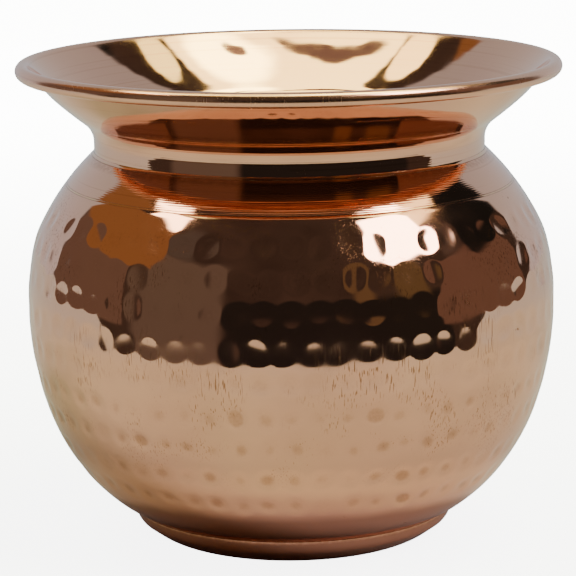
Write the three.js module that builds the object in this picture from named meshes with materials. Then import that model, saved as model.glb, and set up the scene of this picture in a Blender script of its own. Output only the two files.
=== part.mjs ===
// A hammered copper kalash: a round-bellied water pot with a flared mouth, a wired rim and a low foot ring.
// Millimetres, +Z up. The origin is on the table, at the middle of the foot.
// Every piece is round about Z, so each one is an outline of (radius, height) points, turned on a lathe.
import * as THREE from "three";

// ---- driving dimensions ----
const HEIGHT = 110; // table to the top of the rim
const RIM_RADIUS = 62.2; // to the outside of the rolled rim
const SHEET = 0.7; // copper sheet

const ROLL_RADIUS = 1.7; // outside of the rolled edge
const ROLL_TURN = 295; // degrees that the edge is rolled through, which leaves a slit under the rim
const WIRE_RADIUS = 0.8;
const WIRE_SIDES = 8;

const NECK_RADIUS = 44.7; // outside, at its narrowest
const NECK_HEIGHT = 91.7; // where the neck starts to open out
const NECK_BEND = 6.2;
const FLARE_BOW = 110; // the flare is very slightly cupped
const SKIRT = 5.4; // upright stretch of the neck, down through the collar

const BELLY_RADIUS = 60.6;
const BELLY_HEIGHT = 54.6; // of the widest point
const BELLY_ABOVE = [[59, 13], [20, 12.4], [55, 12.6]]; // radius and turn of each arc, up to the seam
const COLLAR_ARC = [55, 8.4]; // the collar carries the shoulder's last arc on
const BELLY_BELOW = [[75, 18], [49, 20.5], [38, 23]]; // radius and turn of each arc, down to the foot
const BOTTOM_BEND = 36; // inside the foot the bowl goes on round to its flat bottom

const FOOT_LEAN = 10; // degrees that the top of the foot leans out from upright
const FOOT_BENDS = [[3.8, 40], [21.5, 15], [2, 25]]; // radius and turn of each arc, in to the flat ring
const FOOT_FLAT = 4; // width of the ring that stands on the table

const SEAM_WIDTH = 0.5; // braze in the butt seam between collar and bowl
const NECK_FILLET = 0.7; // height of the braze in the neck's corner
const FOOT_FILLET = 1.1; // leg of the braze inside the foot, along the bowl
const GAP = 0.04; // between pieces that touch

const SEGMENTS = 60; // round the axis
const CHORD_ERROR = 0.1; // most that a chord may leave its arc

const COPPER = { color: 0xd08a6a, metalness: 1 };
const FINISH = {
  polished: { ...COPPER, roughness: 0.18 },
  hammered: { ...COPPER, roughness: 0.22 },
  wire: { ...COPPER, color: 0xb87352, roughness: 0.4 },
  braze: { color: 0xd8b06c, metalness: 1, roughness: 0.35 },
};

// ---- outlines ----
const rad = THREE.MathUtils.degToRad;
const deg = THREE.MathUtils.radToDeg;
const towards = (heading) => new THREE.Vector2(Math.cos(rad(heading)), Math.sin(rad(heading)));

// Walks an outline in straight runs and arcs, and keeps each station with its heading in degrees.
class Walk {
  constructor(r, z, heading) {
    this.stations = [{ r, z, heading }];
  }
  get end() {
    return this.stations.at(-1);
  }
  run(length) {
    const { r, z, heading } = this.end;
    const step = towards(heading).multiplyScalar(length);
    this.stations.push({ r: r + step.x, z: z + step.y, heading });
    return this;
  }
  // A positive turn is anticlockwise, with the arc's centre on the left.
  arc(radius, turn) {
    const { r, z, heading } = this.end;
    const side = Math.sign(turn);
    const start = towards(heading);
    const largest = 2 * deg(Math.acos(1 - CHORD_ERROR / (radius + SHEET)));
    const count = Math.ceil(Math.abs(turn) / largest);
    for (let i = 1; i <= count; i++) {
      const now = heading + (turn * i) / count;
      const { x, y } = towards(now);
      this.stations.push({ r: r + side * radius * (y - start.y), z: z + side * radius * (start.x - x), heading: now });
    }
    return this;
  }
  // The same walk without its first stretch.
  afterFirst() {
    this.stations.shift();
    return this;
  }
}

// Follows a walk on another walk: a positive distance is to its left.
function alongside(walk, distance) {
  return walk.stations.map(({ r, z, heading }) => {
    const left = towards(heading + 90).multiplyScalar(distance);
    return new THREE.Vector2(Math.max(0, r + left.x), z + left.y);
  });
}

const closed = (points) => [...points, points[0].clone()];

// The outline of sheet metal whose outer side is the walk. A walk that ends on the axis leaves the outline open there.
function sheetOutline(walk, thickness) {
  const outer = alongside(walk, 0);
  const inner = alongside(walk, thickness).reverse();
  const endsOnAxis = outer.at(-1).x === 0;
  return endsOnAxis ? [...inner, ...outer] : closed([...outer, ...inner]);
}

// The centre of an arc that touches two circles from outside, on the left of the way from a to b.
function touchingCentre(a, radiusA, b, radiusB, radius) {
  const reachA = radius + radiusA;
  const reachB = radius + radiusB;
  const apart = a.distanceTo(b);
  const along = (apart ** 2 + reachA ** 2 - reachB ** 2) / (2 * apart);
  const aside = Math.sqrt(reachA ** 2 - along ** 2);
  const way = deg(new THREE.Vector2().subVectors(b, a).angle());
  return a.clone().addScaledVector(towards(way), along).addScaledVector(towards(way + 90), aside);
}

// ---- where the pieces meet ----
const rollCentre = new THREE.Vector2(RIM_RADIUS - ROLL_RADIUS, HEIGHT - ROLL_RADIUS);
const widest = (heading) => new Walk(BELLY_RADIUS, BELLY_HEIGHT, heading);
const upperBelly = () => BELLY_ABOVE.reduce((walk, [radius, turn]) => walk.arc(radius, turn), widest(90));
const lowerBelly = () => BELLY_BELOW.reduce((walk, [radius, turn]) => walk.arc(radius, -turn), widest(-90));
const seam = upperBelly().end;
const footJoint = lowerBelly().end;

// ---- outlines of the pieces ----
// Mouth and neck, spun in one, with the edge rolled over the wire.
function mouthFlare() {
  const bendCentre = new THREE.Vector2(NECK_RADIUS + NECK_BEND, NECK_HEIGHT);
  const rollInside = ROLL_RADIUS - SHEET;
  const flareCentre = touchingCentre(bendCentre, NECK_BEND, rollCentre, rollInside, FLARE_BOW);
  const headingAt = (centre) => deg(new THREE.Vector2().subVectors(flareCentre, centre).angle()) - 90;
  const low = headingAt(bendCentre);
  const high = headingAt(rollCentre);
  const walk = new Walk(NECK_RADIUS, NECK_HEIGHT - SKIRT, 90)
    .run(SKIRT)
    .arc(NECK_BEND, low - 90)
    .arc(FLARE_BOW, high - low)
    .arc(rollInside, -ROLL_TURN);
  return sheetOutline(walk, SHEET);
}

// Round wire in the rolled edge, which stiffens the rim.
function rimWire() {
  const corners = Array.from({ length: WIRE_SIDES }, (_, i) =>
    rollCentre.clone().addScaledVector(towards((360 * (i + 0.5)) / WIRE_SIDES), WIRE_RADIUS),
  );
  return closed(corners);
}

// Smooth spun collar from the seam up to the neck. Its top edge stops just short of the neck's wall.
function collarWalk() {
  const walk = new Walk(seam.r, seam.z, seam.heading).run(SEAM_WIDTH).afterFirst().arc(...COLLAR_ARC);
  const insideEdge = alongside(walk, SHEET).at(-1).x;
  return walk.run((NECK_RADIUS + GAP - insideEdge) / towards(walk.end.heading).x);
}
const shoulderCollar = () => sheetOutline(collarWalk(), SHEET);

// Braze in the corner between the neck and the collar's top edge.
function neckBraze() {
  const walk = collarWalk();
  const outerEdge = alongside(walk, 0).at(-1);
  const innerEdge = alongside(walk, SHEET).at(-1);
  return closed([
    new THREE.Vector2(innerEdge.x, innerEdge.y + 2 * GAP),
    new THREE.Vector2(outerEdge.x, outerEdge.y + 2 * GAP),
    new THREE.Vector2((innerEdge.x + outerEdge.x) / 2, outerEdge.y + NECK_FILLET / 2),
    new THREE.Vector2(innerEdge.x, outerEdge.y + NECK_FILLET),
  ]);
}

// Braze in the butt seam between the collar and the bowl, dressed flush.
function shoulderBraze() {
  const walk = new Walk(seam.r, seam.z, seam.heading).run(GAP).afterFirst().run(SEAM_WIDTH - 2 * GAP);
  return sheetOutline(walk, SHEET);
}

// The body, raised from one disc: it closes over at the bottom, inside the foot ring.
function hammeredBowl() {
  const walk = lowerBelly().arc(BOTTOM_BEND, -180 - footJoint.heading);
  walk.run(walk.end.r);
  const above = upperBelly().stations.slice(1);
  walk.stations.unshift(...above.reverse().map((s) => ({ ...s, heading: s.heading - 180 })));
  return sheetOutline(walk, -SHEET);
}

// The foot: a strip that bends in under the bowl to a flat ring on the table. Its top edge is cut to the bowl's slope.
function footRing() {
  const lean = -90 - FOOT_LEAN;
  const top = footJoint.z - GAP;
  const bendIn = (walk) => FOOT_BENDS.reduce((w, [radius, turn]) => w.arc(radius, -turn), walk);
  const bendHeight = -bendIn(new Walk(0, 0, lean)).end.z;
  const wall = (top - bendHeight) / Math.cos(rad(FOOT_LEAN));
  const walk = bendIn(new Walk(footJoint.r, top, lean).run(wall)).run(FOOT_FLAT);
  const outline = sheetOutline(walk, -SHEET);
  const cut = SHEET / Math.sin(rad(lean - footJoint.heading));
  const topInside = outline.at(-2);
  topInside.copy(outline[0]).addScaledVector(towards(footJoint.heading), cut);
  return outline;
}

// Braze in the inside corner between the foot and the bowl.
function footBraze() {
  const [downWall, , corner] = footRing().slice(-4, -1);
  const underBowl = corner.clone().addScaledVector(towards(footJoint.heading), FOOT_FILLET);
  const clear = new THREE.Vector2(-GAP, -GAP);
  return closed([corner, underBowl, downWall].map((p) => p.clone().add(clear)));
}

// ---- the pot ----
// An outline that runs anticlockwise gives faces that point outwards.
function turned(name, outline, finish) {
  const anticlockwise = THREE.ShapeUtils.area(outline) > 0 ? outline : outline.reverse();
  const geometry = new THREE.LatheGeometry(anticlockwise, SEGMENTS).rotateX(Math.PI / 2);
  const mesh = new THREE.Mesh(geometry, new THREE.MeshStandardMaterial(FINISH[finish]));
  mesh.name = name;
  return mesh;
}

const pot = new THREE.Group();
pot.name = "kalash";
pot.add(
  turned("rim_wire", rimWire(), "wire"),
  turned("mouth_flare", mouthFlare(), "polished"),
  turned("neck_braze", neckBraze(), "braze"),
  turned("shoulder_collar", shoulderCollar(), "polished"),
  turned("shoulder_braze", shoulderBraze(), "braze"),
  turned("hammered_bowl", hammeredBowl(), "hammered"),
  turned("foot_braze", footBraze(), "braze"),
  turned("foot_ring", footRing(), "polished"),
);

export default pot;
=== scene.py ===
import math

import bpy
import numpy as np
from bpy.props import (
    FloatProperty,
    FloatVectorProperty,
    IntProperty,
    PointerProperty,
)
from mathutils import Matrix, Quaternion, Vector


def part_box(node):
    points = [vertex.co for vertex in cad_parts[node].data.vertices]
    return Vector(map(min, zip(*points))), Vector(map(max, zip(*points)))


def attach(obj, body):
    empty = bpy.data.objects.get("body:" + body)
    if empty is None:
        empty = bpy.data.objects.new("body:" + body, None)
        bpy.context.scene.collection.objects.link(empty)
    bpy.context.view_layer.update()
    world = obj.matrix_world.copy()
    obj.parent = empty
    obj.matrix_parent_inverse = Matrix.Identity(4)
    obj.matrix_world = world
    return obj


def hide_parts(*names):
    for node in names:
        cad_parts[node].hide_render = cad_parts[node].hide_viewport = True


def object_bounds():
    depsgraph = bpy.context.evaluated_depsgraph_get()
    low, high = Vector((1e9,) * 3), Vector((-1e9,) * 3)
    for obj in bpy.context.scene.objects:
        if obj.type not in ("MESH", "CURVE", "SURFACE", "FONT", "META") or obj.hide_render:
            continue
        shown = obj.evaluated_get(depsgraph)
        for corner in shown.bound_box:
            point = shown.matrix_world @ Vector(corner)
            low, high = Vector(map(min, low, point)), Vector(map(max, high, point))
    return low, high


bl_info = {
    "name": "Hammered copper kalash",
    "version": (1, 0, 0),
    "blender": (4, 5, 0),
    "location": "3D View > Sidebar > Kalash",
    "description": "Builds a hammered copper water pot piece by piece around its packed model",
    "category": "Add Mesh",
}

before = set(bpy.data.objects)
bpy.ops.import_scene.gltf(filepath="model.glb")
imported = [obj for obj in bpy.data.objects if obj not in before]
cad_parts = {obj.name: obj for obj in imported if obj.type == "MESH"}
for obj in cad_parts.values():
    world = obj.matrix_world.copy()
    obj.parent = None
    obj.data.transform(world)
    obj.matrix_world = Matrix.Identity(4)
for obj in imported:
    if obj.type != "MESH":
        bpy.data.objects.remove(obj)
PACKED_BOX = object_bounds()

MM = 0.001
CORNER_TURN = math.radians(50)  # an outline that turns more than this at one point has a corner there
EDGE_SOFTENING = 0.1 * MM  # how far back a sheet's corners are rounded
FLUSH_SOFTENING = 0.015 * MM  # the same where two pieces are dressed flush
OUTSIDE, INSIDE, EDGE = "outside", "inside", "edge"  # which way a stretch of a sheet's outline faces


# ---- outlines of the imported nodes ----
def outline_of(node):
    """The outline of a turned node as anticlockwise (radius, height) points, and whether it is closed."""
    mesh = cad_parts[node].data
    place = {}
    for vertex in mesh.vertices:
        x, y, z = vertex.co
        if abs(x) < 1e-6 and y < 1e-6:
            place[vertex.index] = (round(max(0.0, -y), 7), round(z, 7))
    beside = {}
    for edge in mesh.edges:
        a, b = (place.get(index) for index in edge.vertices)
        if a is not None and b is not None and a != b:
            beside.setdefault(a, []).append(b)
            beside.setdefault(b, []).append(a)
    ends = [point for point, others in beside.items() if len(set(others)) == 1]
    here = min(ends) if ends else min(beside)
    points, seen = [], set()
    while here is not None:
        points.append(here)
        seen.add(here)
        here = next((p for p in beside[here] if p not in seen), None)
    if len(points) != len(beside):
        raise RuntimeError(f"the outline of {node} does not run in one line")
    points = np.array(points)
    r, z = points[:, 0], points[:, 1]
    area = np.sum(r * np.roll(z, -1) - np.roll(r, -1) * z)
    return (points if area > 0 else points[::-1]), not ends


def smooth_runs(points, is_closed):
    """Cuts an outline at its corners into runs, each a list of points that one smooth curve follows."""
    step = np.roll(points, -1, axis=0) - points
    heading = np.arctan2(step[:, 1], step[:, 0])
    turn = (heading - np.roll(heading, 1) + math.pi) % (2 * math.pi) - math.pi
    corners = [i for i in range(len(points)) if abs(turn[i]) > CORNER_TURN]
    if is_closed:
        runs = []
        for a, b in zip(corners, corners[1:] + [corners[0] + len(points)]):
            runs.append(points[[i % len(points) for i in range(a, b + 1)]])
        return runs
    corners = sorted({0, len(points) - 1} | set(corners))
    return [points[a : b + 1] for a, b in zip(corners, corners[1:])]


class Curve:
    """A chain of arcs through a run of points. Each arc leaves a point the way the arc before it came in."""

    def __init__(self, points):
        self.points = np.asarray(points, float)
        step = np.diff(self.points, axis=0)
        self.chords = np.hypot(*step.T)
        self.knots = np.concatenate([[0], np.cumsum(self.chords)])
        self.length = self.knots[-1]
        self.climb = self.points[-1, 1] - self.points[0, 1]
        chord_heading = np.unwrap(np.arctan2(step[:, 1], step[:, 0]))
        headings = [chord_heading[0]]
        for heading in chord_heading:
            headings.append(2 * heading - headings[-1])
        side = (-1.0) ** np.arange(len(headings))
        headings = np.array(headings) + side * self.first_turn(np.diff(headings), side)
        self.headings, self.turns = headings[:-1], np.diff(headings)

    def first_turn(self, turns, side):
        """How far the first heading is turned from the first chord, for the fewest changes of curvature."""
        if len(turns) < 2:
            return 0.0
        jump = np.diff(turns / self.chords)
        share = 2 * side[: len(jump)] * (1 / self.chords[1:] + 1 / self.chords[:-1])
        choices = -jump / share
        return min(choices, key=lambda choice: np.abs(jump + share * choice).sum())

    def at(self, distances):
        """The points at those distances along the curve."""
        s = np.clip(distances, 0, self.length)
        i = np.clip(np.searchsorted(self.knots, s, side="right") - 1, 0, len(self.chords) - 1)
        part = (s - self.knots[i]) / self.chords[i]
        turn = np.where(np.abs(self.turns[i]) < 1e-6, 1e-6, self.turns[i])
        reach = self.chords[i] * np.sin(part * turn / 2) / np.sin(turn / 2)
        heading = self.headings[i] + part * turn / 2
        return self.points[i] + reach[:, None] * np.stack([np.cos(heading), np.sin(heading)], axis=1)


def spaced(length, pitch_at):
    """Distances from 0 to length whose spacing follows pitch_at(distance)."""
    fine = np.linspace(0, length, 2000)
    count = np.concatenate([[0], np.cumsum(np.diff(fine) / pitch_at((fine[1:] + fine[:-1]) / 2))])
    steps = max(1, round(count[-1]))
    return np.interp(np.linspace(0, count[-1], steps + 1), count, fine)


class Section:
    """The stations of a turned piece: points on its outline, which run each is on, and how far along it."""

    def __init__(self, node, pitch, softening=EDGE_SOFTENING):
        """pitch(side, distances, curve) gives the spacing of the stations on one side of the sheet."""
        points, self.is_closed = outline_of(node)
        self.curves = [Curve(run) for run in smooth_runs(points, self.is_closed)]
        self.side_of = self.name_sides()
        rows, runs, along = [], [], []
        for number, curve in enumerate(self.curves):
            distances = spaced(curve.length, lambda s: pitch(self.side_of[number], s, curve))
            starts_sharp = self.is_closed or number > 0
            ends_sharp = self.is_closed or number < len(self.curves) - 1
            rounded = min(softening, curve.length / 4)
            low = rounded if starts_sharp else 0.0
            high = curve.length - rounded if ends_sharp else curve.length
            inside = distances[(distances > low + 1e-6) & (distances < high - 1e-6)]
            distances = np.concatenate([[low], inside, [high]])
            rows.append(curve.at(distances))
            runs.append(np.full(len(distances), number))
            along.append(distances)
        self.rows, self.runs, self.along = [], [], []
        for number, points_here in enumerate(rows):
            self.rows.append(points_here)
            self.runs.append(runs[number])
            self.along.append(along[number])
            following = (number + 1) % len(rows)
            if self.is_closed or number < len(rows) - 1:
                corner = self.curves[number].points[-1]
                a, b = points_here[-1], rows[following][0]
                for t in (0.3, 0.7):
                    self.rows.append([(1 - t) ** 2 * a + 2 * t * (1 - t) * corner + t**2 * b])
                    self.runs.append([-1])
                    self.along.append([0.0])
        self.rows = np.vstack(self.rows)
        self.runs = np.concatenate(self.runs)
        self.along = np.concatenate(self.along)
        self.outside = self.runs == self.side_of.index(OUTSIDE)
        self.inside = self.runs == self.side_of.index(INSIDE)
        ahead = np.roll(self.rows, -1, axis=0) - np.roll(self.rows, 1, axis=0)
        if not self.is_closed:
            ahead[0] = self.rows[1] - self.rows[0]
            ahead[-1] = self.rows[-1] - self.rows[-2]
        ahead /= np.hypot(*ahead.T)[:, None]
        self.outward = np.stack([ahead[:, 1], -ahead[:, 0]], axis=1)

    def name_sides(self):
        """The side of each run. The two longest are the walls, and the outside one climbs."""
        numbers = range(len(self.curves))
        walls = sorted(numbers, key=lambda i: self.curves[i].length)[-2:]
        inside, outside = sorted(walls, key=lambda i: self.curves[i].climb)
        return [{inside: INSIDE, outside: OUTSIDE}.get(i, EDGE) for i in numbers]


class RingSection:
    """The stations of a ring of round section."""

    is_closed = True

    def __init__(self, middle, radius, sides):
        around = np.arange(sides) * 2 * math.pi / sides
        self.outward = np.stack([np.cos(around), np.sin(around)], axis=1)
        self.rows = np.array(middle) + radius * self.outward


def turned_mesh(name, section, counts, offsets):
    """A mesh turned about Z. Row i has counts[i] points, moved outwards by offsets[i]. A row beside it has
    the same count, twice it or half of it."""
    rows, outward = section.rows, section.outward
    starts, vertices, faces = [], [], []
    total = 0
    for (r, z), (out_r, out_z), count, offset in zip(rows, outward, counts, offsets):
        starts.append(total)
        if r < 1e-7:
            vertices.append([[0.0, 0.0, z]])
            total += 1
            continue
        angle = np.arange(count) * 2 * math.pi / count
        radius = r + out_r * offset
        height = z + out_z * offset + 0 * angle
        vertices.append(np.stack([radius * np.sin(angle), -radius * np.cos(angle), height], axis=1))
        total += count
    last = len(rows) if section.is_closed else len(rows) - 1
    for i in range(last):
        k = (i + 1) % len(rows)
        a, b = starts[i], starts[k]
        n, m = counts[i], counts[k]
        at_axis_here, at_axis_next = rows[i][0] < 1e-7, rows[k][0] < 1e-7
        if at_axis_next:
            faces += [(a + j, a + (j + 1) % n, b) for j in range(n)]
        elif at_axis_here:
            faces += [(a, b + (j + 1) % m, b + j) for j in range(m)]
        elif n == m:
            faces += [(a + j, a + (j + 1) % n, b + (j + 1) % m, b + j) for j in range(n)]
        elif n == 2 * m:
            for j in range(m):
                low, middle, high = a + 2 * j, a + 2 * j + 1, a + (2 * j + 2) % n
                left, right = b + j, b + (j + 1) % m
                faces += [(low, middle, left), (middle, right, left), (middle, high, right)]
        elif m == 2 * n:
            for j in range(n):
                low, high = a + j, a + (j + 1) % n
                left, middle, right = b + 2 * j, b + 2 * j + 1, b + (2 * j + 2) % m
                faces += [(low, middle, left), (low, high, middle), (high, right, middle)]
        else:
            raise RuntimeError(f"{name}: rows {i} and {k} have {n} and {m} points")
    mesh = bpy.data.meshes.new(name)
    mesh.from_pydata(np.vstack(vertices).tolist(), [], faces)
    mesh.validate()
    mesh.shade_smooth()
    return mesh


def halved_counts(rows, most, least_pitch):
    """How many points each row has: the most, halved as often as keeps them at least least_pitch apart."""
    counts = []
    for r, _ in rows:
        count = most
        while count % 2 == 0 and count > 24 and 2 * math.pi * r / count < least_pitch:
            count //= 2
        counts.append(count)
    for i in list(range(1, len(counts))) + list(range(len(counts) - 2, -1, -1)):
        for k in (i - 1, i + 1):
            if 0 <= k < len(counts):
                counts[i] = max(counts[i], counts[k] // 2)
    return counts


def place_piece(name, mesh, material, node):
    """Puts a piece in the scene, on the pot's body and in the place of its node."""
    piece = bpy.data.objects.new(name, mesh)
    bpy.context.scene.collection.objects.link(piece)
    piece.data.materials.append(material)
    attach(piece, "root")
    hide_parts(node)
    return piece


# ---- unevenness of hand work ----
def ripples(distances, pitch, height, seed):
    """Turning ripples along a spun wall: a wave whose pitch and height wander a little."""
    rng = np.random.default_rng(seed)
    turns = 2 * math.pi * distances / pitch
    wander = sum(rng.uniform(0.3, 0.6) * np.sin(turns / k + rng.uniform(0, 6.28)) for k in (3.1, 5.3, 8.9))
    swell = 0.75 + 0.25 * np.sin(turns / 4.3 + rng.uniform(0, 6.28))
    return height * swell * np.sin(turns + wander)


def fade(x, start, end):
    """0 before start and 1 after end, with a smooth step between; it falls if start is after end."""
    t = np.clip((x - start) / (end - start), 0, 1)
    return t * t * (3 - 2 * t)


def ridge(x, start, end):
    """0 before start and after end, and 1 halfway, with straight slopes and a soft top."""
    part = (2 * x - start - end) / (end - start)
    top, foot = math.sqrt(0.02), math.sqrt(1.02)
    return np.clip(foot - np.sqrt(part**2 + 0.02), 0, None) / (foot - top)


def unevenness(s, angle, seed, shortest, longest, waves=26):
    """Gentle rolling of a hand-worked wall, from -1 to 1, over distance s and angle."""
    rng = np.random.default_rng(seed)
    total = np.zeros(np.broadcast(s, angle).shape)
    for _ in range(waves):
        length = rng.uniform(shortest, longest)
        lobes = rng.integers(2, max(3, int(0.36 / length)))
        along = np.sin(2 * math.pi * s / length + rng.uniform(0, 6.28))
        total += along * np.cos(lobes * angle + rng.uniform(0, 6.28))
    return total / math.sqrt(waves)


BLOWS = (0.7, 0.9, 1.0, 1.35)  # how hard the hammer falls, from light to heavy
BLOW_SHARES = (0.25, 0.35, 0.3, 0.1)


def hammer_marks(rows, s, count, spec):
    """How deep the marks are at each point of a wall. Its rows have count points and are s from the seam."""
    rng = np.random.default_rng(spec.seed)
    depth = np.zeros((len(s), count))
    angles = np.arange(count) * 2 * math.pi / count
    for ring in range(spec.rings):
        middle = spec.first_ring + ring * spec.ring_pitch + ring**2 * spec.ring_growth
        middle += rng.uniform(-1, 1) * spec.scatter / 2
        radius = np.interp(middle, s, rows[:, 0])
        marks = round(2 * math.pi * radius / spec.mark_pitch)
        phase = rng.uniform(0, 2 * math.pi)
        for mark in range(marks):
            place = phase + 2 * math.pi * mark / marks + rng.normal(0, 0.45) * spec.scatter / radius
            across = middle + rng.normal(0, 0.4) * spec.scatter
            half = spec.mark_width / 2 * rng.uniform(0.86, 1.1)
            stretch = rng.uniform(0.9, 1.12)
            tilt = rng.uniform(-0.22, 0.22)
            deep = spec.mark_depth * rng.choice(BLOWS, p=BLOW_SHARES) * rng.uniform(0.85, 1.1)
            near = np.flatnonzero(np.abs(s - across) < 1.3 * half)
            arc = (angles - place + math.pi) % (2 * math.pi) - math.pi
            beside = np.flatnonzero(np.abs(arc) * radius < 1.3 * half)
            down = (s[near] - across)[:, None] / half * stretch
            round_way = (arc[beside] * radius)[None, :] / half / stretch
            apart = np.hypot(down, round_way + tilt * down)
            bowl = np.clip(1 - apart**2, 0, 1) ** spec.mark_lip
            dent = deep * bowl * (1 + 0.25 * tilt * down)
            block = np.ix_(near, beside)
            depth[block] = np.maximum(depth[block], dent)
    return depth


# ---- shader maths ----
class Value:
    """A socket that carries a number. Arithmetic on it adds the Math nodes that work it out."""

    def __init__(self, shader, socket):
        self.shader, self.socket = shader, socket

    def math(self, operation, *operands):
        inputs = dict(enumerate((self, *operands)))
        return self.shader.value("ShaderNodeMath", {"operation": operation}, inputs)

    def reflected(self, operation, other):
        return self.shader.value("ShaderNodeMath", {"operation": operation}, {0: other, 1: self})

    def __add__(self, other):
        return self.math("ADD", other)

    def __radd__(self, other):
        return self.reflected("ADD", other)

    def __sub__(self, other):
        return self.math("SUBTRACT", other)

    def __rsub__(self, other):
        return self.reflected("SUBTRACT", other)

    def __mul__(self, other):
        return self.math("MULTIPLY", other)

    def __rmul__(self, other):
        return self.reflected("MULTIPLY", other)

    def __truediv__(self, other):
        return self.math("DIVIDE", other)

    def rise(self, start, end):
        """0 up to start and 1 from end, smooth between; start may be the larger."""
        return self.shader.value(
            "ShaderNodeMapRange",
            {"interpolation_type": "SMOOTHSTEP", "clamp": True},
            {"Value": self, "From Min": start, "From Max": end},
        )

    def between(self, low, high, soft):
        """1 from low to high and 0 outside, with edges that are soft wide."""
        return self.rise(low - soft, low + soft) * self.rise(high + soft, high - soft)


class Shader:
    """Adds nodes to the tree of one material or of the world."""

    def __init__(self, tree):
        self.tree = tree
        tree.nodes.clear()

    def node(self, kind, settings=None, inputs=None):
        """Adds a node: its type, then its settings, then the values or links of its sockets."""
        node = self.tree.nodes.new(kind)
        for name, value in (settings or {}).items():
            setattr(node, name, value)
        for name, value in (inputs or {}).items():
            if isinstance(value, Value):
                self.tree.links.new(value.socket, node.inputs[name])
            else:
                node.inputs[name].default_value = value
        return node

    def value(self, kind, settings=None, inputs=None, output=0):
        """Adds a node and gives one of its outputs."""
        return Value(self, self.node(kind, settings, inputs).outputs[output])

    def mix(self, factor, first, second):
        """Goes from one colour to another."""
        node = self.node("ShaderNodeMix", {"data_type": "RGBA"}, {0: factor})
        for index, colour in ((6, first), (7, second)):
            if isinstance(colour, Value):
                self.tree.links.new(colour.socket, node.inputs[index])
            else:
                node.inputs[index].default_value = (*colour[:3], 1)
        return Value(self, node.outputs[2])

    def split(self, vector):
        """The three numbers of a vector."""
        node = self.node("ShaderNodeSeparateXYZ", inputs={0: vector})
        return [Value(self, output) for output in node.outputs]

    def join(self, x, y, z):
        return self.value("ShaderNodeCombineXYZ", inputs={0: x, 1: y, 2: z})

    def noise(self, vector, scale, detail=2.0, roughness=0.5, distortion=0.0):
        """Noise from 0 to 1 with a middle of 0.5."""
        return self.value(
            "ShaderNodeTexNoise",
            {"noise_dimensions": "3D"},
            {
                "Vector": vector,
                "Scale": scale,
                "Detail": detail,
                "Roughness": roughness,
                "Distortion": distortion,
            },
        )

    def bump(self, height, distance):
        return self.value("ShaderNodeBump", inputs={"Height": height, "Distance": distance, "Strength": 1.0})


# ---- finishes ----
def place_on_pot(shader):
    """Where a point is: its position, its radius, its height, and its angle in turns."""
    position = shader.value("ShaderNodeTexCoord", output="Object")
    x, y, z = shader.split(position)
    radius = (x * x + y * y).math("SQRT")
    turns = x.math("ARCTAN2", y) / (2 * math.pi)
    return position, radius, z, turns


SCRATCHES_PER_METRE = (3700, 3700, 190)  # across a scratch both ways, and along it


def fine_scratches(shader, position, seed, direction, density):
    """Hairline scratches that run one way, from 0 to 1."""
    turned = shader.value(
        "ShaderNodeMapping",
        {"vector_type": "POINT"},
        {
            "Vector": position,
            "Location": (seed * 1.7, seed * 0.9, seed * 2.3),
            "Rotation": direction,
            "Scale": SCRATCHES_PER_METRE,
        },
    )
    hair = shader.noise(turned, 1.0, detail=1.0)
    patch = shader.noise(position, 70 + 9 * seed, detail=1.0)
    return hair.rise(1 - density, 1 - density + 0.08) * patch.rise(0.5, 0.62)


def copper(name, finish, build):
    """A copper material. build(shader, position, radius, height, turns) makes colour, roughness and normal."""
    material = bpy.data.materials.new(name)
    material.use_nodes = True
    shader = Shader(material.node_tree)
    colour, roughness, normal = build(shader, *place_on_pot(shader))
    surface = shader.node(
        "ShaderNodeBsdfPrincipled",
        inputs={
            "Base Color": colour,
            "Roughness": roughness,
            "Normal": normal,
            "Metallic": 1.0,
            "Specular Tint": (*finish.grazing, 1),
        },
    )
    shader.node("ShaderNodeOutputMaterial", inputs={"Surface": Value(shader, surface.outputs[0])})
    return material


def polished_colour(shader, finish, position, height):
    """The colour of polished copper, rosier in slow patches, with dull brown left beside the joints."""
    slow = shader.noise(position, 28, detail=3)
    colour = shader.mix(slow.rise(0.35, 0.68), finish.copper, finish.rosy)
    neck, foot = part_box("neck_braze")[0].z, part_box("foot_ring")[1].z
    broken = shader.noise(position, 900, detail=4, roughness=0.7)
    dull = 0 * height
    for seam, reach in ((neck, 0.8 * MM), (foot, 0.7 * MM)):
        near = (height - seam).math("ABSOLUTE")
        dull = dull.math("MAXIMUM", near.rise(reach * 1.6, reach * 0.2))
    return shader.mix(dull * broken.rise(0.3, 0.6) * 0.4, colour, finish.dull)


def spun_copper(finish):
    """Bright spun copper with fine turning lines round it, made once for all the spun pieces."""
    name = "bright_spun_copper"
    if name in bpy.data.materials:
        return bpy.data.materials[name]

    def build(shader, position, radius, height, turns):
        colour = polished_colour(shader, finish, position, height)
        wall = shader.join(radius, height, turns * 0.002)
        lines = shader.noise(wall, 5200, detail=3, roughness=0.7)
        coarse = shader.noise(wall, 1300, detail=2)
        smudge = shader.noise(position, 90, detail=3, distortion=0.6)
        streaks = fine_scratches(shader, position, 2, (0.35, 0.2, 0.4), 0.34)
        colour = shader.mix(coarse.rise(0.56, 0.75) * 0.22, colour, finish.dull)
        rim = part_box("mouth_flare")[1].x
        on_roll = radius.rise(rim - 4 * MM, rim - 2 * MM)
        roughness = finish.polish + smudge.rise(0.42, 0.72) * 0.04 + lines.rise(0.5, 0.75) * 0.03
        roughness = roughness + streaks * 0.1 + on_roll * 0.16
        height_of = lines * 0.35 + coarse * 0.65 - streaks * 0.5
        return colour, roughness, shader.bump(height_of, 0.0005 * MM)

    return copper(name, finish, build)


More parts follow.
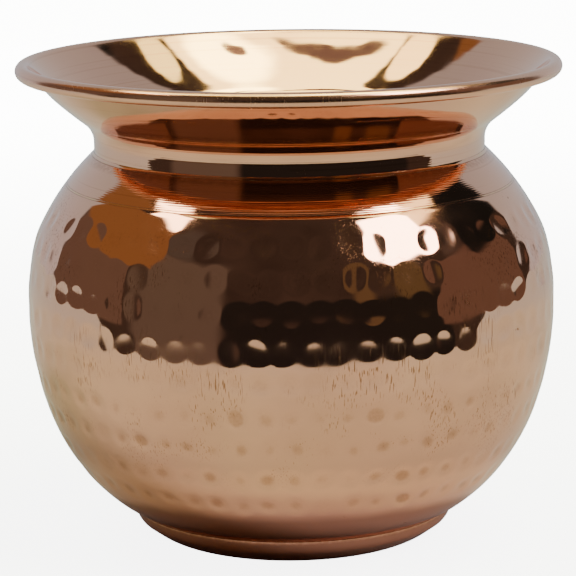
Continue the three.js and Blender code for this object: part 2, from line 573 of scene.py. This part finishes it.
def hammered_copper(finish):
    """Hammered copper: marks a little duller than the ridges, and hairlines from rubbing up and down."""

    def build(shader, position, radius, height, turns):
        colour = polished_colour(shader, finish, position, height)
        hollow = shader.value("ShaderNodeAttribute", {"attribute_name": "hollow"}, output="Fac")
        grain = shader.noise(position, 1500, detail=4, roughness=0.65)
        smudge = shader.noise(position, 60, detail=3, distortion=0.8)
        upright = fine_scratches(shader, position, 1, (0.0, 0.0, 0.0), 0.4)
        leaning = fine_scratches(shader, position, 3, (0.25, 0.3, 0.0), 0.33)
        specks = shader.noise(position, 420, detail=2).rise(0.77, 0.8)
        scratched = upright.math("MAXIMUM", leaning * 0.7) * height.rise(20 * MM, 34 * MM)
        stained = hollow.rise(0.55, 1.1) * height.rise(56 * MM, 30 * MM)
        colour = shader.mix(hollow * grain.rise(0.35, 0.7) * 0.12, colour, finish.dull)
        colour = shader.mix(stained * (0.36 + grain * 0.2), colour, finish.dull)
        colour = shader.mix(scratched * 0.8, colour, finish.dull)
        colour = shader.mix(specks * 0.8, colour, finish.dull)
        roughness = finish.polish + 0.01 + smudge.rise(0.4, 0.7) * 0.06 + hollow * 0.03
        roughness = roughness + scratched * 0.16 + specks * 0.2
        return colour, roughness, shader.bump(grain * 0.6 - scratched * 0.8, 0.0012 * MM)

    return copper("bright_hammered_copper", finish, build)


def wire_copper(finish):
    """Drawn wire, browner than the sheet round it, with lines along it."""

    def build(shader, position, radius, height, turns):
        along = shader.join(radius, height, turns * 0.01)
        drawn = shader.noise(along, 4000, detail=3, roughness=0.7)
        stain = shader.noise(position, 260, detail=3)
        colour = shader.mix(stain.rise(0.4, 0.65) * 0.6, finish.copper, finish.dull)
        return colour, 0.28 + drawn * 0.14, shader.bump(drawn, 0.006 * MM)

    return copper("wire_copper", finish, build)


def brazing(finish):
    """Dressed braze: yellower than copper, pitted, and brown at its edges."""

    def build(shader, position, radius, height, turns):
        pits = shader.noise(position, 2600, detail=3, roughness=0.6)
        flow = shader.noise(position, 240, detail=3)
        colour = shader.mix(flow.rise(0.35, 0.7), finish.copper, finish.braze)
        colour = shader.mix(pits.rise(0.6, 0.75) * 0.35, colour, finish.dull)
        roughness = 0.06 + pits.rise(0.5, 0.75) * 0.12
        return colour, roughness, shader.bump(pits.rise(0.75, 0.45), 0.0015 * MM)

    return copper("brazing", finish, build)


# ---- what a user may change ----
def length_property(name, description, default):
    return FloatProperty(name=name, description=description, default=default, unit="LENGTH")


def angle_property(name, description, degrees):
    return FloatProperty(name=name, description=description, default=math.radians(degrees), subtype="ANGLE")


def colour_property(name, description, default):
    return FloatVectorProperty(
        name=name, description=description, default=default, subtype="COLOR", size=3, min=0, soft_max=1
    )


class KalashHammering(bpy.types.PropertyGroup):
    """The hammer marks on the belly."""

    rings: IntProperty(name="Rings", description="Rings of marks round the belly", default=9, min=1)
    first_ring: length_property("First ring", "From the shoulder seam to the top ring of marks", 7.3 * MM)
    ring_pitch: length_property("Ring pitch", "Between the top rings, along the wall", 7.25 * MM)
    ring_growth: length_property("Ring growth", "What each ring adds to the next one's distance", 0.04 * MM)
    mark_pitch: length_property("Mark pitch", "Between the marks of one ring", 6.0 * MM)
    mark_width: length_property("Mark width", "Across one mark", 5.9 * MM)
    mark_depth: length_property("Mark depth", "Of a typical mark, at its middle", 0.19 * MM)
    mark_lip: FloatProperty(
        name="Lip",
        description="How softly a mark runs out: 1 is a crisp edge, 2 a soft one",
        default=1.2,
        min=1,
        max=3,
    )
    scatter: length_property("Scatter", "How far marks stray from their places", 0.7 * MM)
    rolling: length_property("Rolling", "Height of the slow unevenness between marks", 0.03 * MM)
    inside_echo: FloatProperty(
        name="Inside echo",
        description="Share of each mark that shows on the inside",
        default=0.5,
        subtype="FACTOR",
    )
    seed: IntProperty(name="Seed", description="Another number gives another scatter", default=7)
    points_round: IntProperty(name="Points round", description="Points round the belly", default=512, min=64)


class KalashSpinning(bpy.types.PropertyGroup):
    """What the spinning lathe left on the smooth pieces."""

    ripple_pitch: length_property("Ripple pitch", "Between the turning ripples", 0.52 * MM)
    ripple_height: length_property("Ripple height", "Half the height of a turning ripple", 0.005 * MM)
    thick_middle: length_property(
        "Thick middle", "How much fuller the flare's underside is, halfway up", 0.34 * MM
    )
    points_round: IntProperty(
        name="Points round", description="Points round a spun piece", default=420, min=48
    )


class KalashFinish(bpy.types.PropertyGroup):
    """Colours and polish of the metal."""

    copper: colour_property("Copper", "Polished copper", (0.93, 0.49, 0.315))
    rosy: colour_property("Rosy copper", "Copper where it was heated and is rosier", (0.91, 0.46, 0.31))
    dull: colour_property("Dull copper", "Brown copper that the polishing left", (0.36, 0.14, 0.06))
    braze: colour_property("Braze", "The braze in the joints", (0.92, 0.54, 0.31))
    grazing: colour_property("Grazing tint", "Tint of reflections at a low angle", (0.98, 0.94, 0.92))
    polish: FloatProperty(
        name="Polish", description="Roughness of the best polished copper", default=0.035, min=0, max=1
    )


class KalashStudio(bpy.types.PropertyGroup):
    """The table, the room that the copper mirrors and the camera."""

    lens: FloatProperty(
        name="Lens", description="Focal length on a 36 mm sensor", default=176.4, unit="CAMERA"
    )
    distance: length_property("Distance", "From the camera to the middle of the pot", 0.6535)
    look_down: angle_property("Look down", "How far the camera looks down", 11.557)
    lean: angle_property("Lean", "How far the camera leans to its left", -0.693)
    aim: FloatVectorProperty(
        name="Aim",
        description="The point that the camera looks at",
        default=(-0.00072, 0.0003, 0.05645),
        subtype="XYZ",
    )
    table_front: length_property("Table front", "From the pot's middle to the table's front edge", 0.235)
    table: colour_property("Table", "The table that the copper mirrors", (0.47, 0.485, 0.585))
    floor: colour_property("Floor", "The pale floor round the pot", (0.93, 0.93, 0.93))


# ---- operators ----
class KALASH_OT_rim_wire(bpy.types.Operator):
    """The round wire inside the rolled edge"""

    bl_idname = "kalash.rim_wire"
    bl_label = "Rim wire"

    def execute(self, context):
        low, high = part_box("rim_wire")
        radius = (high.z - low.z) / 2
        sides = 20
        section = RingSection((high.x - radius, low.z + radius), radius, sides)
        counts = [context.scene.kalash_spinning.points_round // 2] * sides
        mesh = turned_mesh("rim_wire", section, counts, [0.0] * sides)
        place_piece("wire", mesh, wire_copper(context.scene.kalash_finish), "rim_wire")
        return {"FINISHED"}


def spun_piece(context, node, name, pitch, relief, softening=EDGE_SOFTENING):
    """A spun piece: pitch spaces its stations, and relief(section) is how far each one is moved outwards."""
    section = Section(node, pitch, softening)
    counts = [context.scene.kalash_spinning.points_round] * len(section.rows)
    mesh = turned_mesh(name, section, counts, relief(section))
    place_piece(name, mesh, spun_copper(context.scene.kalash_finish), node)


class KALASH_OT_mouth_flare(bpy.types.Operator):
    """Mouth and neck in one, with its edge rolled over the wire"""

    bl_idname = "kalash.mouth_flare"
    bl_label = "Mouth and neck"

    def execute(self, context):
        spin = context.scene.kalash_spinning
        low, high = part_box("mouth_flare")
        wire_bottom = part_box("rim_wire")[0].z
        roll_start = high.x - 2.7 * MM
        rippled_up_to = low.z + 13 * MM
        flare_foot, flare_top = low.z + 10.2 * MM, high.z - 1.2 * MM
        rippled, smooth, rolled = spin.ripple_pitch / 4, 1.2 * MM, 0.28 * MM

        def pitch(side, distances, curve):
            radius, height = curve.at(distances).T
            spacing = np.full(len(distances), smooth)
            if side == OUTSIDE:
                spacing = np.where(height < rippled_up_to, rippled, spacing)
            in_roll = (height > wire_bottom - 1.2 * MM) & (radius > high.x - 6.2 * MM)
            return np.where(in_roll, rolled, spacing)

        def relief(section):
            radius, height = section.rows.T
            wall = ripples(section.along, spin.ripple_pitch, spin.ripple_height, seed=3)
            wall *= fade(height, rippled_up_to, rippled_up_to - 3 * MM)
            slow = ripples(section.along, 4.1 * MM, 0.006 * MM, seed=5)
            slow *= fade(height, wire_bottom, wire_bottom - 3 * MM)
            thick = spin.thick_middle * ridge(height, flare_foot, flare_top)
            moved = np.where(section.runs >= 0, np.where(section.outside, wall, 0) + slow, 0)
            return moved + np.where(section.outside & (radius < roll_start), thick, 0)

        spun_piece(context, "mouth_flare", "mouth", pitch, relief)
        return {"FINISHED"}


class KALASH_OT_shoulder_collar(bpy.types.Operator):
    """Smooth spun collar between the belly and the neck"""

    bl_idname = "kalash.shoulder_collar"
    bl_label = "Shoulder collar"

    def execute(self, context):
        spin = context.scene.kalash_spinning

        def pitch(side, distances, curve):
            return np.full(len(distances), spin.ripple_pitch / 4)

        def relief(section):
            wall = ripples(section.along, spin.ripple_pitch, spin.ripple_height, seed=11)
            length = section.along[section.outside].max()
            ends = fade(section.along, 0, 0.4 * MM) * fade(section.along, length, length - 0.4 * MM)
            return np.where(section.outside, wall * ends, 0)

        spun_piece(context, "shoulder_collar", "collar", pitch, relief, FLUSH_SOFTENING)
        return {"FINISHED"}


class KALASH_OT_hammered_bowl(bpy.types.Operator):
    """The belly, raised from one disc, with hammer marks in rings"""

    bl_idname = "kalash.hammered_bowl"
    bl_label = "Hammered belly"

    def execute(self, context):
        spec = context.scene.kalash_hammering
        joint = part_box("foot_ring")[1].z
        last = spec.rings - 1
        marks_end = spec.first_ring + last * (spec.ring_pitch + last * spec.ring_growth)
        marks_end += 0.7 * spec.mark_width
        spacing = {OUTSIDE: 1.3 * MM, INSIDE: 1.85 * MM, EDGE: 0.3 * MM}

        def pitch(side, distances, curve):
            from_seam = self.from_seam(distances, curve)
            marked = (side == OUTSIDE) & (from_seam > 3.6 * MM) & (from_seam < marks_end)
            return np.where(marked, 0.54 * MM, spacing[side])

        section = Section("hammered_bowl", pitch, FLUSH_SOFTENING)
        counts = halved_counts(section.rows, spec.points_round, 0.33 * MM)
        for i in np.flatnonzero(section.inside):
            counts[i] = min(counts[i], spec.points_round // 2)
        offsets = [np.zeros(count) for count in counts]
        hollows = [np.zeros(count) for count in counts]
        for here, share in ((section.outside, -1.0), (section.inside, spec.inside_echo)):
            rows = np.flatnonzero(here)
            curve = section.curves[section.runs[rows[0]]]
            s = np.zeros(len(section.rows))
            s[rows] = self.from_seam(section.along[rows], curve)
            rows = rows[np.argsort(s[rows])]
            for count in sorted({counts[i] for i in rows}):
                these = np.array([i for i in rows if counts[i] == count])
                depth = hammer_marks(section.rows[these], s[these], count, spec)
                angle = np.arange(count)[None, :] * 2 * math.pi / count
                lumps = unevenness(s[these][:, None], angle, spec.seed, 9 * MM, 30 * MM) * spec.rolling
                clear_of_foot = fade(section.rows[these, 1], joint, joint + 4 * MM)
                lumps *= (fade(s[these], 0, 3 * MM) * clear_of_foot)[:, None]
                for k, i in enumerate(these):
                    offsets[i] = share * depth[k] - abs(share) * lumps[k]
                    hollows[i] = depth[k] / spec.mark_depth
        mesh = turned_mesh("belly", section, counts, offsets)
        hollow = mesh.attributes.new("hollow", "FLOAT", "POINT")
        flat = np.concatenate([[0.0] if r < 1e-7 else h for (r, _), h in zip(section.rows, hollows)])
        hollow.data.foreach_set("value", flat.astype(np.float32))
        material = hammered_copper(context.scene.kalash_finish)
        place_piece("belly", mesh, material, "hammered_bowl")
        return {"FINISHED"}

    @staticmethod
    def from_seam(distances, curve):
        """Distances along a wall, counted from its end at the shoulder seam."""
        return distances if curve.climb < 0 else curve.length - distances


class KALASH_OT_foot_ring(bpy.types.Operator):
    """The low foot, rounded in to the ring that it stands on"""

    bl_idname = "kalash.foot_ring"
    bl_label = "Foot ring"

    def execute(self, context):
        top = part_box("foot_ring")[1].z

        def pitch(side, distances, curve):
            return np.full(len(distances), 0.2 * MM if side == EDGE else 0.16 * MM)

        def relief(section):
            height = section.rows[:, 1]
            wall = ripples(section.along, 1.3 * MM, 0.012 * MM, seed=17)
            clear_of_ends = fade(height, 0.1 * MM, 1.0 * MM) * fade(height, top, 5.6 * MM)
            return np.where(section.outside, wall * clear_of_ends, 0)

        spun_piece(context, "foot_ring", "foot", pitch, relief, FLUSH_SOFTENING)
        return {"FINISHED"}


class KALASH_OT_brazes(bpy.types.Operator):
    """The braze in the three joints"""

    bl_idname = "kalash.brazes"
    bl_label = "Brazed joints"

    def execute(self, context):
        material = brazing(context.scene.kalash_finish)
        count = 360
        angle = np.arange(count)[None, :] * 2 * math.pi / count

        def pitch(side, distances, curve):
            return np.full(len(distances), 0.16 * MM)

        for joint in ("neck", "shoulder", "foot"):
            node, name = joint + "_braze", joint + "_seam"
            section = Section(node, pitch, FLUSH_SOFTENING)
            lumps = unevenness(section.rows[:, 1:], angle, 23, 2 * MM, 5 * MM)
            offsets = -0.006 * MM * (1 + np.clip(lumps, -1, 1))
            mesh = turned_mesh(name, section, [count] * len(section.rows), offsets)
            place_piece(name, mesh, material, node)
        return {"FINISHED"}


def stage_panel(name, outline, height, material):
    """A level panel of the stage, with that outline and at that height."""
    mesh = bpy.data.meshes.new(name)
    mesh.from_pydata([(x, y, height) for x, y in outline], [], [tuple(range(len(outline)))])
    panel = bpy.data.objects.new(name, mesh)
    bpy.context.scene.collection.objects.link(panel)
    panel.data.materials.append(material)
    return panel


def distance_out(shader):
    """A point's place on the stage, and how far it is from the pot's axis."""
    position = shader.value("ShaderNodeTexCoord", output="Object")
    x, y, _ = shader.split(position)
    return position, (x * x + y * y).math("SQRT")


def floor_material(colour):
    """Pale matt floor with a painted glow that brightens into the distance, up to the blank behind it, and is
    dimmer near the pot as painted shade round it.
    """
    material = bpy.data.materials.new("floor")
    material.use_nodes = True
    shader = Shader(material.node_tree)
    _, away = distance_out(shader)
    surface = shader.value(
        "ShaderNodeBsdfPrincipled",
        inputs={
            "Base Color": (*colour, 1),
            "Roughness": 0.9,
            # painted light: the floor glows, at half strength near the pot as painted shade round it and at
            # full strength far off
            "Emission Color": shader.mix(away.rise(0.06, 0.75), (0.5, 0.5, 0.5), (1, 1, 1)),
            "Emission Strength": BLANK_STRENGTH,
        },
    )
    shader.node("ShaderNodeOutputMaterial", inputs={"Surface": surface})
    return material


def table_material(colour):
    """Matt table top that the copper mirrors: bluer far off, with painted light that makes it paler near the
    pot and a painted shadow under its foot.
    """
    material = bpy.data.materials.new("table")
    material.use_nodes = True
    shader = Shader(material.node_tree)
    position, away = distance_out(shader)
    worn = shader.noise(position, 6, detail=3)
    tone = shader.mix(worn.rise(0.4, 0.65), colour, tuple(c * 0.88 for c in colour))
    tone = shader.mix(away.rise(0.12, 0.5), tone, (0.37, 0.43, 0.67))
    # painted light: the table is made paler near the pot, where the pot itself shades it
    tone = shader.mix(away.rise(0.075, 0.052), tone, (0.62, 0.62, 0.68))
    # painted shadow: the table is darkened under the pot's foot
    tone = shader.mix(away.rise(0.048, 0.0425) * 0.5, tone, (0.1, 0.07, 0.06))
    surface = shader.value("ShaderNodeBsdfPrincipled", inputs={"Base Color": tone, "Roughness": 0.8})
    shader.node("ShaderNodeOutputMaterial", inputs={"Surface": surface})
    return material


FLOOR_RADIUS = 8.0
BLANK_STRENGTH = 12.0  # of the white that the camera sees behind the pot, and of the floor's painted glow
ROOM = (0.052, 0.044, 0.038)
BACKDROP = (0.60, 0.72, 0.82)
# What stands round the table, as directions from the pot in degrees: from the front round to the right, and
# up. Each is its colour, its two sides, its bottom and top, and how soft its edges are.
THINGS_IN_ROOM = (
    ((0.125, 0.118, 0.104), -72, -30, -20, 38, 3.0),  # pale cupboard on the left
    ((0.019, 0.020, 0.020), -28, 72, -30, 8, 2.0),  # dark space under the counter
    ((0.13, 0.105, 0.06), 27, 37, 6, 38, 2.0),  # wooden uprights
    ((0.12, 0.10, 0.055), 47, 62, 6, 34, 2.5),
    ((0.14, 0.112, 0.095), -126, -77, -6, 27, 0.6),  # brown screens at both sides
    ((0.145, 0.105, 0.085), 68, 120, -6, 28, 0.6),
    ((0.25, 0.145, 0.062), -133, -66, 24, 46, 0.8),  # warm lit wall
    ((0.012, 0.015, 0.016), 94, 127, 22, 44, 1.5),  # dark doorway
    ((0.09, 0.092, 0.086), -66, -52, 38, 50, 3.0),
    ((9.0, 8.2, 6.2), -98, -71, 47, 55, 0.8),  # window on the left
    ((3.2, 2.9, 1.7), 78, 101, 44, 54, 1.0),  # its curtain on the right, then the window
    ((14.0, 13.4, 12.2), 47, 79, 35, 57, 0.8),
)
# What hangs overhead, on a level ceiling that is one unit above the pot: its colour, its middle to the right
# and away from the camera, half length, half width, turn in degrees, and soft edge.
THINGS_OVERHEAD = (
    ((5.0, 5.4, 2.5), 0.02, -0.07, 0.68, 0.27, 0, 0.08),  # wide lamp
    ((11.5, 14.0, 6.5), 0.30, -0.05, 0.22, 0.14, 0, 0.5),  # its bright tube
    ((4.6, 4.7, 2.1), -0.60, 0.20, 0.15, 0.12, 25, 0.15),
    ((3.3, 3.6, 1.5), 0.62, 0.22, 0.14, 0.11, -25, 0.15),
    ((0.25, 0.2, 0.17), -0.20, -0.10, 0.30, 0.045, -20, 0.25),  # its dark holder
    ((0.5, 0.4, 0.3), 0.26, -0.11, 0.06, 0.03, 0, 0.4),
)


def studio_world():
    """The room that the copper mirrors: dark in front, screens at the sides, pale behind, lit from above."""
    world = bpy.data.worlds.new("studio")
    bpy.context.scene.world = world
    world.use_nodes = True
    shader = Shader(world.node_tree)
    direction = shader.value("ShaderNodeTexCoord", output="Generated")
    x, y, z = shader.split(direction)
    round_way = x.math("ARCTAN2", 0 - y) * math.degrees(1)
    up = z.math("ARCSINE") * math.degrees(1)
    uneven = shader.noise(direction, 3.5, detail=4)
    colour = shader.mix(uneven, tuple(c * 0.5 for c in ROOM), tuple(c * 1.5 for c in ROOM))
    for thing, left, right, bottom, top, soft in THINGS_IN_ROOM:
        seen = round_way.between(left, right, soft) * up.between(bottom, top, soft)
        colour = shader.mix(seen, colour, thing)
    behind = round_way.math("ABSOLUTE").rise(126, 128) * up.rise(72, 60)
    curtain = shader.mix(up.rise(-5, 50), BACKDROP, tuple(c * 0.7 for c in BACKDROP))
    colour = shader.mix(behind, colour, curtain)
    overhead = z.rise(0.3, 0.4)
    wavy = shader.noise(direction, 5.0, detail=2) - 0.5
    right, back = x / z + wavy * 0.12, y / z + wavy * 0.06
    for thing, middle_right, middle_back, long, wide, turn, soft in THINGS_OVERHEAD:
        cosine, sine = math.cos(math.radians(turn)), math.sin(math.radians(turn))
        from_right, from_back = right - middle_right, back - middle_back
        lengthwise = (from_right * cosine + from_back * sine) / long
        crosswise = (from_back * cosine - from_right * sine) / wide
        inside = (lengthwise * lengthwise + crosswise * crosswise).rise(1 + soft, 1 - soft)
        colour = shader.mix(inside * overhead, colour, thing)
    room = shader.value("ShaderNodeBackground", inputs={"Color": colour, "Strength": 1.0})
    blank = shader.value("ShaderNodeBackground", inputs={"Color": (1, 1, 1, 1), "Strength": BLANK_STRENGTH})
    to_camera = shader.value("ShaderNodeLightPath", output="Is Camera Ray")
    both = shader.value("ShaderNodeMixShader", inputs={0: to_camera, 1: room, 2: blank})
    shader.node("ShaderNodeOutputWorld", inputs={"Surface": both})


class KALASH_OT_stage(bpy.types.Operator):
    """The floor, the table in the copper's reflection, the room round them and the camera"""

    bl_idname = "kalash.stage"
    bl_label = "Stage and camera"

    def execute(self, context):
        studio = context.scene.kalash_studio
        ground = PACKED_BOX[0].z
        around = np.arange(96) * 2 * math.pi / 96
        disc = FLOOR_RADIUS * np.stack([np.cos(around), np.sin(around)], axis=1)
        floor = stage_panel("floor", disc, ground - 0.4 * MM, floor_material(studio.floor))
        floor.visible_glossy = False
        front = studio.table_front
        sweep = np.radians(np.linspace(-78, 78, 41))
        edge = [(1.12 * front * math.sin(a), -front * math.cos(a) ** 0.8) for a in sweep]
        outline = [(-0.8, -0.02), *edge, (0.8, -0.02), (0.8, 1.0), (-0.8, 1.0)]
        table = stage_panel("table", outline, ground, table_material(studio.table))
        table.visible_camera = False
        table.visible_diffuse = False
        table.visible_shadow = False
        studio_world()
        self.add_camera(context, studio)
        return {"FINISHED"}

    def add_camera(self, context, studio):
        data = bpy.data.cameras.new("camera")
        data.lens = studio.lens
        data.sensor_width = 36
        data.clip_start = 0.01
        camera = bpy.data.objects.new("camera", data)
        context.scene.collection.objects.link(camera)
        middle = (PACKED_BOX[0].z + PACKED_BOX[1].z) / 2
        back = studio.distance * math.cos(studio.look_down)
        rise = studio.distance * math.sin(studio.look_down)
        camera.location = (0, -back, middle + rise)
        view = Vector(studio.aim) - camera.location
        camera.rotation_mode = "QUATERNION"
        camera.rotation_quaternion = view.to_track_quat("-Z", "Y") @ Quaternion((0, 0, 1), studio.lean)
        context.scene.camera = camera


class KALASH_PT_panel(bpy.types.Panel):
    """Lists the pieces and what can be changed about them"""

    bl_idname = "KALASH_PT_panel"
    bl_label = "Kalash"
    bl_space_type = "VIEW_3D"
    bl_region_type = "UI"
    bl_category = "Kalash"

    def draw(self, context):
        for label, group in GROUPS.items():
            box = self.layout.box()
            box.label(text=label.capitalize())
            settings = getattr(context.scene, "kalash_" + label)
            for name in group.__annotations__:
                box.prop(settings, name)
        for operator in OPERATORS:
            self.layout.operator(operator.bl_idname)


GROUPS = {
    "hammering": KalashHammering,
    "spinning": KalashSpinning,
    "finish": KalashFinish,
    "studio": KalashStudio,
}
OPERATORS = (
    KALASH_OT_stage,
    KALASH_OT_rim_wire,
    KALASH_OT_mouth_flare,
    KALASH_OT_shoulder_collar,
    KALASH_OT_hammered_bowl,
    KALASH_OT_foot_ring,
    KALASH_OT_brazes,
)


def register():
    for cls in (*GROUPS.values(), *OPERATORS, KALASH_PT_panel):
        bpy.utils.register_class(cls)
    for name, group in GROUPS.items():
        setattr(bpy.types.Scene, "kalash_" + name, PointerProperty(type=group))


def unregister():
    for name in GROUPS:
        delattr(bpy.types.Scene, "kalash_" + name)
    for cls in reversed((*GROUPS.values(), *OPERATORS, KALASH_PT_panel)):
        bpy.utils.unregister_class(cls)


def main():
    register()
    for operator in OPERATORS:
        prefix, name = operator.bl_idname.split(".")
        getattr(getattr(bpy.ops, prefix), name)()


if __name__ == "__main__":
    main()
